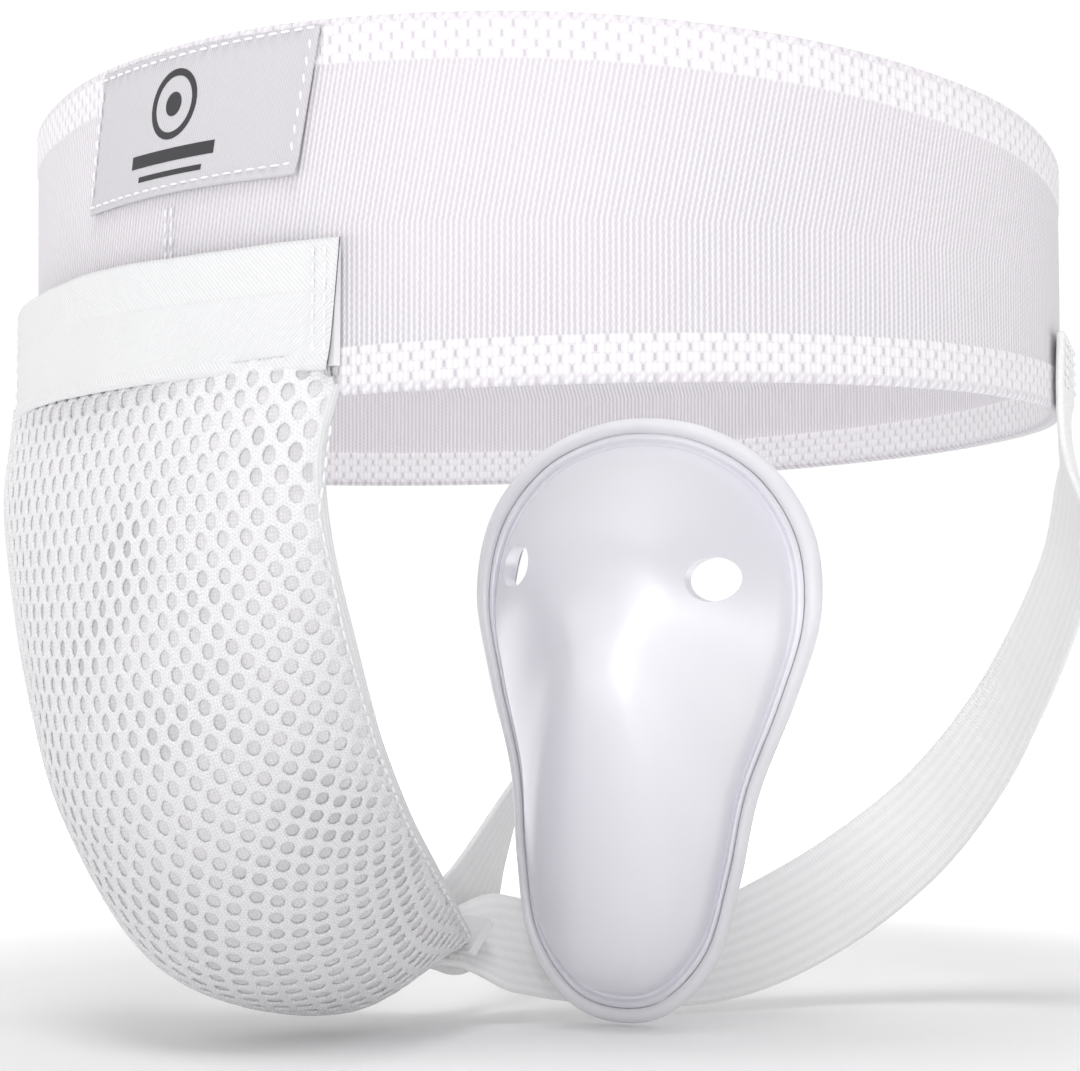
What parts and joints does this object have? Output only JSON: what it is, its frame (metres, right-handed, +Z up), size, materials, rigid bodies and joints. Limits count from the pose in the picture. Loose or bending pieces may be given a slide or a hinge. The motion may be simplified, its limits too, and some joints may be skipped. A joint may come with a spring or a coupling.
{
  "type": "groin protector",
  "caption": "Elastic waistband with a mesh cup pocket at the front, elastic leg straps round to the hips, and a removable domed plastic cup with vents.",
  "frame": {"origin": "centre of the waist opening, at half the height of the front of the waistband", "axes": "+Z up as worn, the front faces -Y, the wearer's left is +X"},
  "size_m": [0.258, 0.2295, 0.2045],
  "materials": {
    "elastic_band": "ribbed woven elastic, matt",
    "strap_elastic": "flat ribbed elastic, matt",
    "twill_tape": "herringbone tape, soft sheen",
    "spacer_mesh": "open spacer mesh",
    "lining": "plain knit lining",
    "satin_label": "grey satin weave",
    "thread": "polyester thread",
    "cup_plastic": "glossy, slightly pearly",
    "soft_edge": "soft translucent edge, satin"
  },
  "bodies": {
    "waistband": {"waistband_elastic": "elastic_band", "band_join_stitching": "thread", "woven_label": "satin_label", "label_stitching": "thread", "pocket_trim": "twill_tape", "trim_end_fold_left": "twill_tape", "trim_end_fold_right": "twill_tape", "trim_end_stitching_left": "thread", "trim_end_stitching_right": "thread", "leg_strap_left": "strap_elastic", "leg_strap_right": "strap_elastic", "hip_stitching_left": "thread", "hip_stitching_right": "thread"},
    "pocket": {"pocket_front_mesh": "spacer_mesh", "pocket_back_lining": "lining", "pocket_seam_stitching_left": "thread", "pocket_seam_stitching_right": "thread", "pocket_tip_tape": "twill_tape"},
    "cup": {"cup_shell": "cup_plastic", "cup_edge_trim": "soft_edge"}
  },
  "joints": [
    {"name": "pocket_swing", "type": "hinge", "parent": "waistband", "child": "pocket", "pos_m": [0, -0.112, -0.038], "axis": [-1, 0, 0], "range_deg": [0, 15], "stiffness_Nm_per_rad": 2, "deforming": ["leg_strap_left", "leg_strap_right"]},
    {"name": "cup_lift", "type": "slide", "parent": "waistband", "child": "cup", "axis": [0, 0, 1], "range_m": [0, 0.18]}
  ]
}
